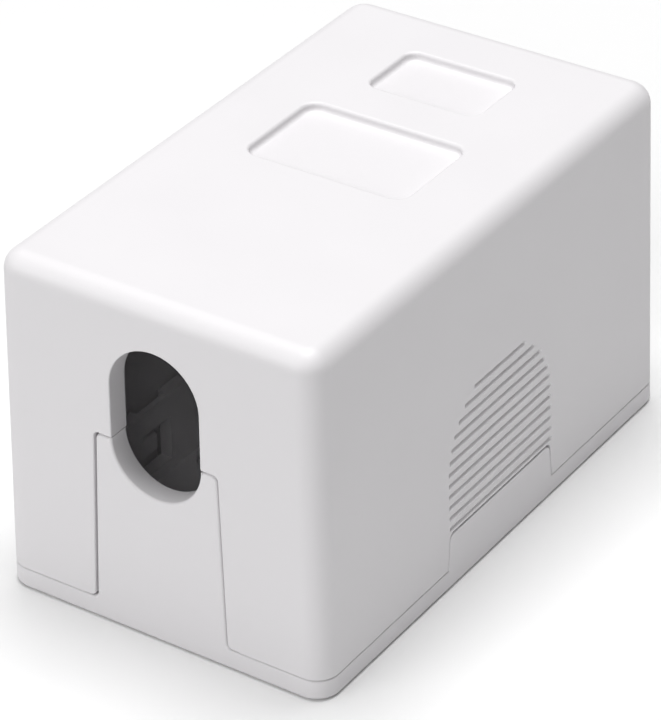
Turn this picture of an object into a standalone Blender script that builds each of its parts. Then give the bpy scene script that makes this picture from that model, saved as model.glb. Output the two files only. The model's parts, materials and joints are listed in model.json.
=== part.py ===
"""One-port surface-mount outlet box with a modular jack, as separate pieces.

Units are metres, +Z is up. The origin is the middle of the underside.
The cable enters through the end wall at -Y, and the jack's port faces +Y.
"""
import math

import bmesh
import bpy

MM = 0.001

# ---- Housing ---------------------------------------------------------------------------------
BOX_WIDTH = 34.0 * MM
BOX_LENGTH = 57.0 * MM
BOX_HEIGHT = 34.0 * MM
WALL = 2.2 * MM
FLOOR = 2.1 * MM                  # also the height of the seam between base and cover
DRAFT = math.radians(1.15)        # lean of all four walls
CORNER_RADIUS = 2.2 * MM
TOP_EDGE_RADIUS = 1.9 * MM
INNER_RADIUS = 0.8 * MM
SEAT_GAP = 0.3 * MM               # between pieces that touch on the real box
ROUND_STEPS = 5

# Cable entry, shared by the cover (arch) and the base (tongue)
HOLE_RADIUS = 4.6 * MM
ARCH_CENTRE = 24.75 * MM
SPLIT_HEIGHT = 19.4 * MM
TONGUE_HALF_LOW = 6.88 * MM
TONGUE_HALF_HIGH = 6.27 * MM
TONGUE_CORNER = 0.6 * MM

# Tabs of the base that stand in notches of the cover's long walls
TAB_TOP = 5.6 * MM
TAB_HALF_LOW = 8.75 * MM
TAB_HALF_HIGH = 8.4 * MM
TAB_CORNER = 0.7 * MM

# Finger grips above the tabs: V-grooves whose ends follow an arch
GRIP_GROOVES = 12
GRIP_FIRST = 0.65 * MM            # first groove above the tab
GRIP_PITCH = 1.135 * MM
GRIP_HALF = 8.55 * MM
GRIP_ARCH_CENTRE = 11.2 * MM
GROOVE_WIDTH = 0.5 * MM
GROOVE_DEPTH = 0.35 * MM

# Label recesses in the top
RECESS_DEPTH = 0.8 * MM
LARGE_RECESS_HALF = 8.3 * MM
LARGE_RECESS_Y = (-2.6 * MM, 8.1 * MM)
LARGE_RECESS_CORNER = 1.4 * MM
SMALL_RECESS_HALF = 5.8 * MM
SMALL_RECESS_Y = (13.2 * MM, 20.8 * MM)
SMALL_RECESS_CORNER = 1.2 * MM

# ---- Base, inside ----------------------------------------------------------------------------
RAIL_THICKNESS = 1.3 * MM
RAIL_TOP = 10.2 * MM
RAIL_HALF_LENGTH = 16.5 * MM
WINDOW_Y = (8.7 * MM, 13.0 * MM)
WINDOW_Z = (3.2 * MM, 7.8 * MM)
WINDOW_STRIP = 0.6 * MM           # rail left above a window
NUB_REACH = 0.85 * MM             # how far the cover's snap nubs stand out of its wall
NUB_HEIGHT = 2.2 * MM
SCREW_HOLE_RADIUS = 1.8 * MM
SCREW_HEAD_RADIUS = 3.3 * MM
SCREW_HEAD_DEPTH = 0.9 * MM
SCREW_Y = -4.5 * MM
ANCHOR_SIZE = (6.0 * MM, 4.4 * MM, 3.3 * MM)
ANCHOR_Y = -12.0 * MM
ANCHOR_TUNNEL = (2.6 * MM, 1.8 * MM)
PAD_HALF_WIDTH = 11.0 * MM
PAD_LENGTH = 13.0 * MM
PAD_MIDDLE_Y = 17.5 * MM
PAD_THICKNESS = 0.8 * MM

# ---- Jack ------------------------------------------------------------------------------------
JACK_WIDTH = 14.5 * MM
JACK_BODY_HEIGHT = 14.3 * MM
JACK_BODY_LENGTH = 15.3 * MM
JACK_FACE_SETBACK = 0.6 * MM      # from the box's end at floor level
JACK_LIFT = 4.5 * MM              # underside of the jack above the floor
PORT_HALF_WIDTH = 5.9 * MM
PORT_HEIGHT = 7.1 * MM
PORT_DEPTH = 13.5 * MM
PORT_TOP_WALL = 2.3 * MM
PORT_SLOTS = ((3.15 * MM, 1.6 * MM), (2.0 * MM, 3.1 * MM))    # half width, depth below the port
CONTACT_BAY_TOP_WALL = 1.0 * MM
CONTACT_BAY_HALF = 5.2 * MM
CONTACT_BAY_FRONT = 1.7 * MM
LUG_HALF_WIDTH = 4.5 * MM
LUG_DROP = 1.6 * MM

# Cage of the base that holds the jack
PANEL_MARGIN = 0.55 * MM          # panel beyond the cage's walls
PANEL_FLARE = 0.5 * MM            # how much wider the panel's foot is, each side
PANEL_OVER_PORT = 5.2 * MM
CAGE_WALL = 1.5 * MM
CAGE_OVER_PORT = 3.2 * MM
CAGE_DEPTH = 9.1 * MM             # from the jack's face
BAR_LENGTH = 1.8 * MM

# Latch: a springy arm above the jack's body
LATCH_HALF_WIDTH = 4.5 * MM
LATCH_THICKNESS = 1.5 * MM
LATCH_ROOT_SETBACK = 0.9 * MM     # from the jack's face to the line the arm bends about
ARM_THICKNESS = 1.2 * MM
ARM_LENGTH = 14.0 * MM
ARM_SLOPE = math.radians(9.8)
CATCH_RISE = 1.9 * MM
CATCH_LENGTH = 3.3 * MM
CATCH_GAP = 0.5 * MM              # room behind the catch for its swing
CATCH_HOLD = 0.7 * MM             # how far the catch stands in front of its bar

# Contacts
WAYS = 8
CONTACT_PITCH = 1.016 * MM
WIRE_RADIUS = 0.2 * MM
WIRE_BEND = 0.55 * MM
WIRE_REACH = 11.6 * MM            # from the rear of the jack's body to the bend
WIRE_FALL = 2.3 * MM
WIRE_RETURN = 8.2 * MM
CARRIER_THICKNESS = 0.6 * MM
COMB_SLOT = 0.66 * MM
COMB_LENGTH = 1.0 * MM

# Circuit board, terminal block, blades and caps
BOARD_THICKNESS = 1.4 * MM
BOARD_MARGIN = 0.6 * MM
BLOCK_BASE = 1.2 * MM
TOWER_LENGTH = 7.0 * MM
TOWER_WIDTH = 5.0 * MM
TOWER_WAYS = 4
TOWER_PITCH = 3.0 * MM
TOWER_END = 2.0 * MM
WIRE_SLOT = 1.0 * MM
WIRE_SLOT_DEPTH = 4.5 * MM
BLADE_THICKNESS = 0.5 * MM
BLADE_WIDTH = 2.0 * MM
BLADE_SLIT = 0.4 * MM
BLADE_SLIT_DEPTH = 3.4 * MM
BLADE_SETBACK = 0.6 * MM
CAP_WALL = 0.8 * MM
CAP_SKIRT = 3.9 * MM
CAP_ROOF = 1.3 * MM
CAP_NOTCH = 1.7 * MM

# ---- Worked out from the above ---------------------------------------------------------------
LEAN = math.tan(DRAFT)
HALF_X = BOX_WIDTH / 2
HALF_Y = BOX_LENGTH / 2
CEILING = BOX_HEIGHT - WALL
OVERSHOOT = 2.0 * MM              # how far cutters run past what they cut
ROOTED = 0.4 * MM                 # how far joined shapes sink into each other

RAIL_OUTER = HALF_X - WALL - RAIL_TOP * LEAN - SEAT_GAP
RAIL_INNER = RAIL_OUTER - RAIL_THICKNESS
STRIP_OUTER = RAIL_INNER + WINDOW_STRIP
SCREW_X = RAIL_INNER - SCREW_HEAD_RADIUS - SEAT_GAP

JACK_HALF = JACK_WIDTH / 2
JACK_FACE = HALF_Y - JACK_FACE_SETBACK
JACK_REAR = JACK_FACE - JACK_BODY_LENGTH
JACK_BOTTOM = FLOOR + JACK_LIFT
JACK_TOP = JACK_BOTTOM + JACK_BODY_HEIGHT
LATCH_BOTTOM = JACK_TOP + SEAT_GAP
LATCH_TOP = LATCH_BOTTOM + LATCH_THICKNESS
OPENING_HALF = JACK_HALF + SEAT_GAP
OPENING_BOTTOM = JACK_BOTTOM - SEAT_GAP
OPENING_TOP = LATCH_TOP + SEAT_GAP
PANEL_TOP = OPENING_TOP + PANEL_OVER_PORT
PANEL_HALF_HIGH = OPENING_HALF + CAGE_WALL + PANEL_MARGIN
PANEL_HALF_LOW = PANEL_HALF_HIGH + PANEL_FLARE
CAGE_TOP = OPENING_TOP + CAGE_OVER_PORT
CATCH_FRONT = HALF_Y - WALL - PANEL_TOP * LEAN - SEAT_GAP
CATCH_REAR = CATCH_FRONT - CATCH_LENGTH
BAR_FRONT = CATCH_REAR - CATCH_GAP
LUG_FRONT = HALF_Y - WALL - JACK_BOTTOM * LEAN - SEAT_GAP
LUG_REAR = BAR_FRONT + SEAT_GAP
LATCH_PIVOT = (JACK_FACE - LATCH_ROOT_SETBACK, LATCH_BOTTOM + LATCH_THICKNESS / 2)

PORT_TOP = JACK_TOP - PORT_TOP_WALL
PORT_BOTTOM = PORT_TOP - PORT_HEIGHT
BAY_TOP = JACK_TOP - CONTACT_BAY_TOP_WALL
CARRIER_TOP = BAY_TOP - SEAT_GAP
CARRIER_BOTTOM = CARRIER_TOP - CARRIER_THICKNESS
WIRE_HEIGHT = CARRIER_BOTTOM - WIRE_RADIUS - SEAT_GAP / 2

BOARD_FRONT = JACK_REAR - SEAT_GAP
BOARD_REAR = BOARD_FRONT - BOARD_THICKNESS
BLOCK_FRONT = BOARD_REAR - SEAT_GAP
TOWER_FRONT = BLOCK_FRONT - BLOCK_BASE
TOWER_REAR = TOWER_FRONT - TOWER_LENGTH
TOWER_OUTER = JACK_HALF
TOWER_INNER = TOWER_OUTER - TOWER_WIDTH
TOWER_HEIGHT = (TOWER_WAYS - 1) * TOWER_PITCH + 2 * TOWER_END
TOWER_BOTTOM = (JACK_BOTTOM + JACK_TOP - TOWER_HEIGHT) / 2
TOWER_TOP = TOWER_BOTTOM + TOWER_HEIGHT


# ---- Scene helpers ---------------------------------------------------------------------------
def new_collection(name):
    made = bpy.data.collections.new(name)
    bpy.context.scene.collection.children.link(made)
    return made


def plastic(name, colour, roughness, metallic=0.0):
    """A Principled material with one colour."""
    made = bpy.data.materials.new(name)
    made.use_nodes = True
    shader = made.node_tree.nodes["Principled BSDF"]
    shader.inputs["Base Color"].default_value = (*colour, 1.0)
    shader.inputs["Roughness"].default_value = roughness
    shader.inputs["Metallic"].default_value = metallic
    made.diffuse_color = (*colour, 1.0)
    return made


def place(name, mesh, material=None):
    """Links a mesh as a part when it has a material, and as a hidden cutter when it has none."""
    made = bpy.data.objects.new(name, mesh)
    if material:
        mesh.materials.append(material)
        PARTS.objects.link(made)
    else:
        CUTTERS.objects.link(made)
        made.hide_render = True
        made.display_type = "WIRE"
    return made


def from_bmesh(name, bm, material=None):
    mesh = bpy.data.meshes.new(name)
    bm.to_mesh(mesh)
    bm.free()
    return place(name, mesh, material)


def box(name, low, high, material=None):
    """Axis-aligned box between two corners."""
    bm = bmesh.new()
    bmesh.ops.create_cube(bm, size=1.0)
    for vert in bm.verts:
        vert.co = [low[i] + (vert.co[i] + 0.5) * (high[i] - low[i]) for i in range(3)]
    return from_bmesh(name, bm, material)


def drafted_block(name, half_x, half_y, low, high, corner, top_edge=0.0, material=None):
    """Block whose walls lean inwards by DRAFT; its half sizes are those at z = 0."""
    bm = bmesh.new()
    bmesh.ops.create_cube(bm, size=2.0)
    for vert in bm.verts:
        z = high if vert.co.z > 0 else low
        vert.co = (vert.co.x * (half_x - z * LEAN), vert.co.y * (half_y - z * LEAN), z)
    middle = (low + high) / 2
    upright = [e for e in bm.edges if (e.verts[0].co.z - middle) * (e.verts[1].co.z - middle) < 0]
    bmesh.ops.bevel(bm, geom=upright, offset=corner, segments=ROUND_STEPS, profile=0.5,
                    affect="EDGES")
    if top_edge:
        rim = [e for e in bm.edges if min(v.co.z for v in e.verts) > middle]
        bmesh.ops.bevel(bm, geom=rim, offset=top_edge, segments=ROUND_STEPS, profile=0.5,
                        affect="EDGES")
    return from_bmesh(name, bm, material)


def cylinder(name, centre, radius, low, high, material=None):
    """Upright cylinder at centre (x, y)."""
    bm = bmesh.new()
    bmesh.ops.create_cone(bm, cap_ends=True, segments=24, radius1=radius, radius2=radius,
                          depth=high - low)
    bmesh.ops.translate(bm, verts=bm.verts, vec=(*centre, (low + high) / 2))
    return from_bmesh(name, bm, material)


def curve_to_mesh(curve_object, name, material):
    """Turns a curve object into a closed mesh object at the same place."""
    bpy.context.view_layer.update()
    evaluated = curve_object.evaluated_get(bpy.context.evaluated_depsgraph_get())
    mesh = bpy.data.meshes.new_from_object(evaluated)
    mesh.name = name
    bm = bmesh.new()
    bm.from_mesh(mesh)
    bmesh.ops.remove_doubles(bm, verts=bm.verts, dist=1e-6)
    bm.to_mesh(mesh)
    bm.free()
    mesh.materials.clear()
    made = place(name, mesh, material)
    made.matrix_world = curve_object.matrix_world.copy()
    bpy.data.objects.remove(curve_object)
    return made


TURN = {"X": (math.pi / 2, 0, math.pi / 2), "Y": (math.pi / 2, 0, 0), "Z": (0, 0, 0)}
ALONG = {"X": (1, 0, 0), "Y": (0, 1, 0), "Z": (0, 0, 1)}


def prism(name, outline, axis, low, high, material=None):
    """Closed outline pushed along an axis from low to high.

    The outline holds (y, z) pairs for X, (x, z) pairs for Y and (x, y) pairs for Z.
    """
    data = bpy.data.curves.new(name + "_outline", "CURVE")
    data.dimensions = "2D"
    data.fill_mode = "BOTH"
    data.extrude = (high - low) / 2
    spline = data.splines.new("POLY")
    spline.points.add(len(outline) - 1)
    for point, (u, v) in zip(spline.points, outline):
        point.co = (u, v, 0, 1)
    spline.use_cyclic_u = True
    flat = bpy.data.objects.new(name + "_outline", data)
    bpy.context.scene.collection.objects.link(flat)
    flat.rotation_euler = TURN[axis]
    flat.location = [a * (low + high) / 2 for a in ALONG[axis]]
    return curve_to_mesh(flat, name, material)


def tube(name, points, radius, material):
    """Round wire along a row of points."""
    data = bpy.data.curves.new(name + "_path", "CURVE")
    data.dimensions = "3D"
    data.bevel_depth = radius
    data.bevel_resolution = 2
    data.use_fill_caps = True
    spline = data.splines.new("POLY")
    spline.points.add(len(points) - 1)
    for point, co in zip(spline.points, points):
        point.co = (*co, 1)
    path = bpy.data.objects.new(name + "_path", data)
    bpy.context.scene.collection.objects.link(path)
    return curve_to_mesh(path, name, material)


def combine(target, other, operation):
    step = target.modifiers.new(other.name, "BOOLEAN")
    step.operation = operation
    step.object = other


def cut(target, *cutters):
    for cutter in cutters:
        combine(target, cutter, "DIFFERENCE")


def join(target, *tools):
    for tool in tools:
        combine(target, tool, "UNION")


def arc(centre, radius, start, end, steps=8):
    """Points of an arc, angles in degrees, end points included."""
    angles = [math.radians(start + (end - start) * i / steps) for i in range(steps + 1)]
    return [(centre[0] + radius * math.cos(a), centre[1] + radius * math.sin(a)) for a in angles]


def mirrored(right_side):
    """Closes an outline that runs up its right-hand side by repeating it on the left."""
    return right_side + [(-u, v) for u, v in reversed(right_side) if u > 1e-9]


def rounded_rectangle(low, high, radius):
    """Outline of a rectangle with round corners."""
    left, right = low[0] + radius, high[0] - radius
    near, far = low[1] + radius, high[1] - radius
    points = []
    for centre, start in (((right, near), -90), ((right, far), 0), ((left, far), 90),
                          ((left, near), 180)):
        points += arc(centre, radius, start, start + 90, 4)
    return points


def wall_tab(half_low, half_high, top, corner, grow=0.0, bottom=FLOOR):
    """Outline of a flush tab that narrows upwards; grow widens it all round for a notch."""
    slope = (half_low - half_high) / (top - bottom)
    half_top = half_high + grow
    round_off = arc((half_top - corner, top + grow - corner), corner, 0, 90, 4)
    foot = (half_low + grow + slope * OVERSHOOT, bottom - OVERSHOOT)
    return mirrored([foot] + round_off)


def finish(part, angle=35):
    """Smooth shading with sharp edges kept."""
    part.data.shade_smooth()
    part.data.set_sharp_from_angle(angle=math.radians(angle))


# ---- Cover -----------------------------------------------------------------------------------
def tongue_half(z):
    share = (z - FLOOR) / (SPLIT_HEIGHT - FLOOR)
    return TONGUE_HALF_LOW + (TONGUE_HALF_HIGH - TONGUE_HALF_LOW) * share


def cable_gate_outline():
    """The cover's end cut: room for the tongue, then the upper part of the cable hole."""
    shoulder = SPLIT_HEIGHT + SEAT_GAP
    foot = (tongue_half(FLOOR - OVERSHOOT) + SEAT_GAP, FLOOR - OVERSHOOT)
    corner = TONGUE_CORNER
    half = TONGUE_HALF_HIGH + SEAT_GAP
    right = [foot] + arc((half - corner, shoulder - corner), corner, 0, 90, 4)
    right += [(HOLE_RADIUS, shoulder)] + arc((0, ARCH_CENTRE), HOLE_RADIUS, 0, 90, 10)
    return mirrored(right)


def groove_cutter(name, side, z, half_length):
    """V-groove across the wall that stands on the given side, +1 or -1."""
    face = side * (HALF_X - z * LEAN)
    inside = face - side * GROOVE_DEPTH
    outside = face + side * GROOVE_DEPTH
    outline = [(inside, z), (outside, z + GROOVE_WIDTH), (outside, z - GROOVE_WIDTH)]
    if side < 0:
        outline.reverse()
    return prism(name, outline, "Y", -half_length, half_length)


def grip_half_length(z):
    """Half length of a groove: straight at first, then following the arch."""
    rise = max(0.0, z - GRIP_ARCH_CENTRE)
    return math.sqrt(GRIP_HALF ** 2 - rise ** 2)


def make_cover(material):
    cover = drafted_block("cover", HALF_X, HALF_Y, FLOOR + SEAT_GAP, BOX_HEIGHT, CORNER_RADIUS,
                          TOP_EDGE_RADIUS, material)
    cut(cover, drafted_block("cover_cavity", HALF_X - WALL, HALF_Y - WALL, -OVERSHOOT, CEILING,
                             INNER_RADIUS))
    for side in (-1, 1):
        for end in (-1, 1):
            inner = HALF_X - WALL - WINDOW_Z[1] * LEAN
            ys = sorted(end * (y + s * 2 * SEAT_GAP) for y, s in zip(WINDOW_Y, (1, -1)))
            middle = (WINDOW_Z[0] + WINDOW_Z[1]) / 2 - SEAT_GAP
            xs = sorted((side * (inner - NUB_REACH), side * (inner + ROOTED)))
            join(cover, box(f"nub_{side}_{end}", (xs[0], ys[0], middle - NUB_HEIGHT / 2),
                            (xs[1], ys[1], middle + NUB_HEIGHT / 2)))
    beyond_x = HALF_X + OVERSHOOT
    beyond_y = HALF_Y + OVERSHOOT
    inside_y = HALF_Y - WALL - OVERSHOOT
    cut(cover,
        prism("cable_gate", cable_gate_outline(), "Y", -beyond_y, -inside_y),
        prism("tab_notches", wall_tab(TAB_HALF_LOW, TAB_HALF_HIGH, TAB_TOP, TAB_CORNER, SEAT_GAP),
              "X", -beyond_x, beyond_x),
        prism("port_gate", wall_tab(PANEL_HALF_LOW, PANEL_HALF_HIGH, PANEL_TOP, TONGUE_CORNER,
                                    SEAT_GAP), "Y", inside_y, beyond_y))
    recess_floor = BOX_HEIGHT - RECESS_DEPTH
    for name, half, ends, corner in (
            ("large_recess", LARGE_RECESS_HALF, LARGE_RECESS_Y, LARGE_RECESS_CORNER),
            ("small_recess", SMALL_RECESS_HALF, SMALL_RECESS_Y, SMALL_RECESS_CORNER)):
        cut(cover, prism(name, rounded_rectangle((-half, ends[0]), (half, ends[1]), corner), "Z",
                         recess_floor, BOX_HEIGHT + OVERSHOOT))
    for number in range(GRIP_GROOVES):
        z = TAB_TOP + GRIP_FIRST + number * GRIP_PITCH
        for side in (-1, 1):
            cut(cover, groove_cutter(f"groove_{number}_{side}", side, z, grip_half_length(z)))
    finish(cover)
    return cover


# ---- Base ------------------------------------------------------------------------------------
def tongue_outline():
    """The base's cable tongue: a tapering tab with half of the round cable hole in its top."""
    foot = (tongue_half(FLOOR - OVERSHOOT), FLOOR - OVERSHOOT)
    corner = TONGUE_CORNER
    right = [foot] + arc((TONGUE_HALF_HIGH - corner, SPLIT_HEIGHT - corner), corner, 0, 90, 4)
    return mirrored(right + arc((0, SPLIT_HEIGHT), HOLE_RADIUS, 0, -90, 10))


def make_base(material):
    base = drafted_block("base_tray", HALF_X, HALF_Y, 0, BOX_HEIGHT - WALL, CORNER_RADIUS,
                         material=material)
    cut(base, drafted_block("base_cavity", HALF_X - WALL, HALF_Y - WALL, FLOOR,
                            BOX_HEIGHT, INNER_RADIUS))
    beyond_x = HALF_X + OVERSHOOT
    beyond_y = HALF_Y + OVERSHOOT
    inside_y = HALF_Y - WALL - OVERSHOOT
    above_seam = box("above_seam", (-beyond_x, -beyond_y, FLOOR),
                     (beyond_x, beyond_y, BOX_HEIGHT + OVERSHOOT))
    cut(above_seam,
        prism("tongue", tongue_outline(), "Y", -beyond_y - OVERSHOOT, -inside_y),
        prism("tabs", wall_tab(TAB_HALF_LOW, TAB_HALF_HIGH, TAB_TOP, TAB_CORNER), "X",
              -beyond_x - OVERSHOOT, beyond_x + OVERSHOOT),
        prism("port_panel", wall_tab(PANEL_HALF_LOW, PANEL_HALF_HIGH, PANEL_TOP, TONGUE_CORNER),
              "Y", inside_y, beyond_y + OVERSHOOT))
    cut(base, above_seam)

    for side, word in ((-1, "left"), (1, "right")):
        xs = sorted((side * RAIL_INNER, side * RAIL_OUTER))
        join(base, box("rail_" + word, (xs[0], -RAIL_HALF_LENGTH, FLOOR - ROOTED),
                       (xs[1], RAIL_HALF_LENGTH, RAIL_TOP)))
        relief = sorted((side * STRIP_OUTER, side * (RAIL_OUTER + SEAT_GAP / 2)))
        for end in (-1, 1):
            ys = sorted((end * WINDOW_Y[0], end * WINDOW_Y[1]))
            cut(base,
                box(f"window_{word}_{end}", (xs[0] - SEAT_GAP / 2, ys[0], WINDOW_Z[0]),
                    (xs[1] + SEAT_GAP / 2, ys[1], WINDOW_Z[1])),
                box(f"relief_{word}_{end}", (relief[0], ys[0], WINDOW_Z[0] + ROOTED),
                    (relief[1], ys[1], RAIL_TOP + OVERSHOOT)))
        cut(base,
            cylinder("screw_hole_" + word, (side * SCREW_X, SCREW_Y), SCREW_HOLE_RADIUS,
                     -OVERSHOOT, FLOOR + OVERSHOOT),
            cylinder("screw_head_" + word, (side * SCREW_X, SCREW_Y), SCREW_HEAD_RADIUS,
                     FLOOR - SCREW_HEAD_DEPTH, FLOOR + OVERSHOOT))
        walls = sorted((side * OPENING_HALF, side * (OPENING_HALF + CAGE_WALL)))
        join(base, box("cage_wall_" + word, (walls[0], JACK_FACE - CAGE_DEPTH, FLOOR - ROOTED),
                       (walls[1], HALF_Y - WALL - CAGE_TOP * LEAN + ROOTED, CAGE_TOP)))

    across = OPENING_HALF + ROOTED
    join(base,
         box("lower_bar", (-across, BAR_FRONT - BAR_LENGTH, FLOOR - ROOTED),
             (across, BAR_FRONT, OPENING_BOTTOM)),
         box("upper_bar", (-across, BAR_FRONT - BAR_LENGTH, LATCH_TOP + CATCH_RISE - CATCH_HOLD),
             (across, BAR_FRONT, CAGE_TOP)))
    cut(base, box("port_opening", (-OPENING_HALF, inside_y, OPENING_BOTTOM),
                  (OPENING_HALF, beyond_y, OPENING_TOP)))

    anchor_x, anchor_y, anchor_z = (size / 2 for size in ANCHOR_SIZE)
    tunnel_y, tunnel_z = ANCHOR_TUNNEL
    join(base, box("tie_anchor", (-anchor_x, ANCHOR_Y - anchor_y, FLOOR - ROOTED),
                   (anchor_x, ANCHOR_Y + anchor_y, FLOOR + 2 * anchor_z)))
    cut(base, box("tie_tunnel", (-anchor_x - OVERSHOOT, ANCHOR_Y - tunnel_y / 2, FLOOR + SEAT_GAP),
                  (anchor_x + OVERSHOOT, ANCHOR_Y + tunnel_y / 2, FLOOR + SEAT_GAP + tunnel_z)))
    for end in (-1, 1):
        half = PAD_LENGTH / 2 + SEAT_GAP
        cut(base, box(f"pad_recess_{end}",
                      (-PAD_HALF_WIDTH - SEAT_GAP, end * PAD_MIDDLE_Y - half, -OVERSHOOT),
                      (PAD_HALF_WIDTH + SEAT_GAP, end * PAD_MIDDLE_Y + half,
                       PAD_THICKNESS + SEAT_GAP)))
    finish(base)
    return base


def make_pads(material):
    for end, word in ((-1, "front"), (1, "rear")):
        middle = end * PAD_MIDDLE_Y
        box("adhesive_pad_" + word, (-PAD_HALF_WIDTH, middle - PAD_LENGTH / 2, 0),
            (PAD_HALF_WIDTH, middle + PAD_LENGTH / 2, PAD_THICKNESS), material)


# ---- Jack ------------------------------------------------------------------------------------
def make_jack_housing(material):
    housing = box("jack_housing", (-JACK_HALF, JACK_REAR, JACK_BOTTOM),
                  (JACK_HALF, JACK_FACE, JACK_TOP), material)
    join(housing, box("lug", (-LUG_HALF_WIDTH, LUG_REAR, JACK_BOTTOM - LUG_DROP),
                      (LUG_HALF_WIDTH, LUG_FRONT, JACK_BOTTOM + ROOTED)))
    port_rear = JACK_FACE - PORT_DEPTH
    port_front = JACK_FACE + OVERSHOOT
    cut(housing,
        box("port", (-PORT_HALF_WIDTH, port_rear, PORT_BOTTOM), (PORT_HALF_WIDTH, port_front, PORT_TOP)),
        box("contact_bay", (-CONTACT_BAY_HALF, JACK_REAR - OVERSHOOT, PORT_TOP - ROOTED * 3),
            (CONTACT_BAY_HALF, JACK_FACE - CONTACT_BAY_FRONT, BAY_TOP)))
    for number, (half, depth) in enumerate(PORT_SLOTS):
        cut(housing, box(f"port_slot_{number}", (-half, port_rear, PORT_BOTTOM - depth),
                         (half, port_front, PORT_BOTTOM + ROOTED)))
    finish(housing)
    return housing


def make_latch(material):
    """Arm rooted above the jack's face; the catch stands on it, in front of the cage's bar."""
    root_rear = CATCH_FRONT + SEAT_GAP
    slope = math.tan(ARM_SLOPE)
    tip = root_rear - ARM_LENGTH
    arm_top = [(y, LATCH_BOTTOM + (root_rear - y) * slope + ARM_THICKNESS)
               for y in (tip, CATCH_REAR)]
    profile = [(JACK_FACE - SEAT_GAP, LATCH_BOTTOM), (JACK_FACE - SEAT_GAP, LATCH_TOP),
               (CATCH_FRONT, LATCH_TOP),
               (CATCH_FRONT - 0.6 * CATCH_LENGTH, LATCH_TOP + CATCH_RISE),
               (CATCH_REAR, LATCH_TOP + CATCH_RISE), arm_top[1], arm_top[0],
               (tip, LATCH_BOTTOM + (root_rear - tip) * slope), (root_rear, LATCH_BOTTOM)]
    return prism("jack_latch", profile, "X", -LATCH_HALF_WIDTH, LATCH_HALF_WIDTH, material)


def contact_x(way):
    return (way - (WAYS - 1) / 2) * CONTACT_PITCH


def make_contact_carrier(material):
    """Plate above the spring wires with a comb at its rear that keeps them apart."""
    half = CONTACT_BAY_HALF - SEAT_GAP
    rear = JACK_REAR + SEAT_GAP
    carrier = box("contact_carrier", (-half, rear, CARRIER_BOTTOM),
                  (half, JACK_REAR + WIRE_REACH, CARRIER_TOP), material)
    join(carrier, box("comb", (-half, rear, PORT_TOP - 2 * ROOTED),
                      (half, rear + COMB_LENGTH, CARRIER_BOTTOM + ROOTED)))
    for way in range(WAYS):
        x = contact_x(way)
        cut(carrier, box(f"comb_slot_{way}", (x - COMB_SLOT / 2, rear - OVERSHOOT, PORT_BOTTOM),
                         (x + COMB_SLOT / 2, rear + COMB_LENGTH + SEAT_GAP,
                          WIRE_HEIGHT + COMB_SLOT / 2)))
    finish(carrier)
    return carrier


def make_contact_wires(material):
    """Spring wires: forward along the bay, round a bend, then back and down into the port."""
    bend_y = JACK_REAR + WIRE_REACH
    for way in range(WAYS):
        x = contact_x(way)
        bend = arc((bend_y, WIRE_HEIGHT - WIRE_BEND), WIRE_BEND, 90, -75, 6)
        end = (bend_y - WIRE_RETURN, WIRE_HEIGHT - WIRE_FALL)
        path = [(JACK_REAR, WIRE_HEIGHT)] + bend + [end]
        tube(f"contact_wire_{way + 1}", [(x, y, z) for y, z in path], WIRE_RADIUS, material)


def make_circuit_board(material):
    half = JACK_HALF - BOARD_MARGIN
    return box("circuit_board", (-half, BOARD_REAR, JACK_BOTTOM + BOARD_MARGIN),
               (half, BOARD_FRONT, JACK_TOP - BOARD_MARGIN), material)


def terminal_heights():
    return [TOWER_BOTTOM + TOWER_END + row * TOWER_PITCH for row in range(TOWER_WAYS)]


def make_terminal_block(material):
    """Two towers on one base, each with a row of wire slots crossed by blade pockets."""
    block = box("idc_block", (-TOWER_OUTER, TOWER_FRONT, TOWER_BOTTOM),
                (TOWER_OUTER, BLOCK_FRONT, TOWER_TOP), material)
    for side in (-1, 1):
        xs = sorted((side * TOWER_INNER, side * TOWER_OUTER))
        join(block, box(f"tower_{side}", (xs[0], TOWER_REAR, TOWER_BOTTOM),
                        (xs[1], TOWER_FRONT + ROOTED, TOWER_TOP)))
    for row, z in enumerate(terminal_heights()):
        cut(block, box(f"wire_slot_{row}",
                       (-TOWER_OUTER - OVERSHOOT, TOWER_REAR - OVERSHOOT, z - WIRE_SLOT / 2),
                       (TOWER_OUTER + OVERSHOOT, TOWER_REAR + WIRE_SLOT_DEPTH, z + WIRE_SLOT / 2)))
        for side in (-1, 1):
            x = side * (TOWER_INNER + TOWER_OUTER) / 2
            half_x = BLADE_THICKNESS / 2 + SEAT_GAP
            half_z = BLADE_WIDTH / 2 + SEAT_GAP
            cut(block, box(f"pocket_{row}_{side}", (x - half_x, TOWER_REAR - OVERSHOOT, z - half_z),
                           (x + half_x, BLOCK_FRONT + OVERSHOOT, z + half_z)))
    finish(block)
    return block


def make_blades(material):
    """Slotted blades that bite into a conductor pressed into the slit."""
    front = BLOCK_FRONT
    rear = TOWER_REAR + BLADE_SETBACK
    slit = BLADE_SLIT / 2
    number = 0
    for side in (-1, 1):
        x = side * (TOWER_INNER + TOWER_OUTER) / 2
        for z in terminal_heights():
            number += 1
            upper = [(front, z + BLADE_WIDTH / 2), (rear, z + BLADE_WIDTH / 2), (rear, z + 2 * slit),
                     (rear + 2 * slit, z + slit), (rear + BLADE_SLIT_DEPTH, z + slit)]
            lower = [(y, 2 * z - height) for y, height in reversed(upper)]
            prism(f"idc_contact_{number}", upper + lower, "X", x - BLADE_THICKNESS / 2,
                  x + BLADE_THICKNESS / 2, material)


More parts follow.
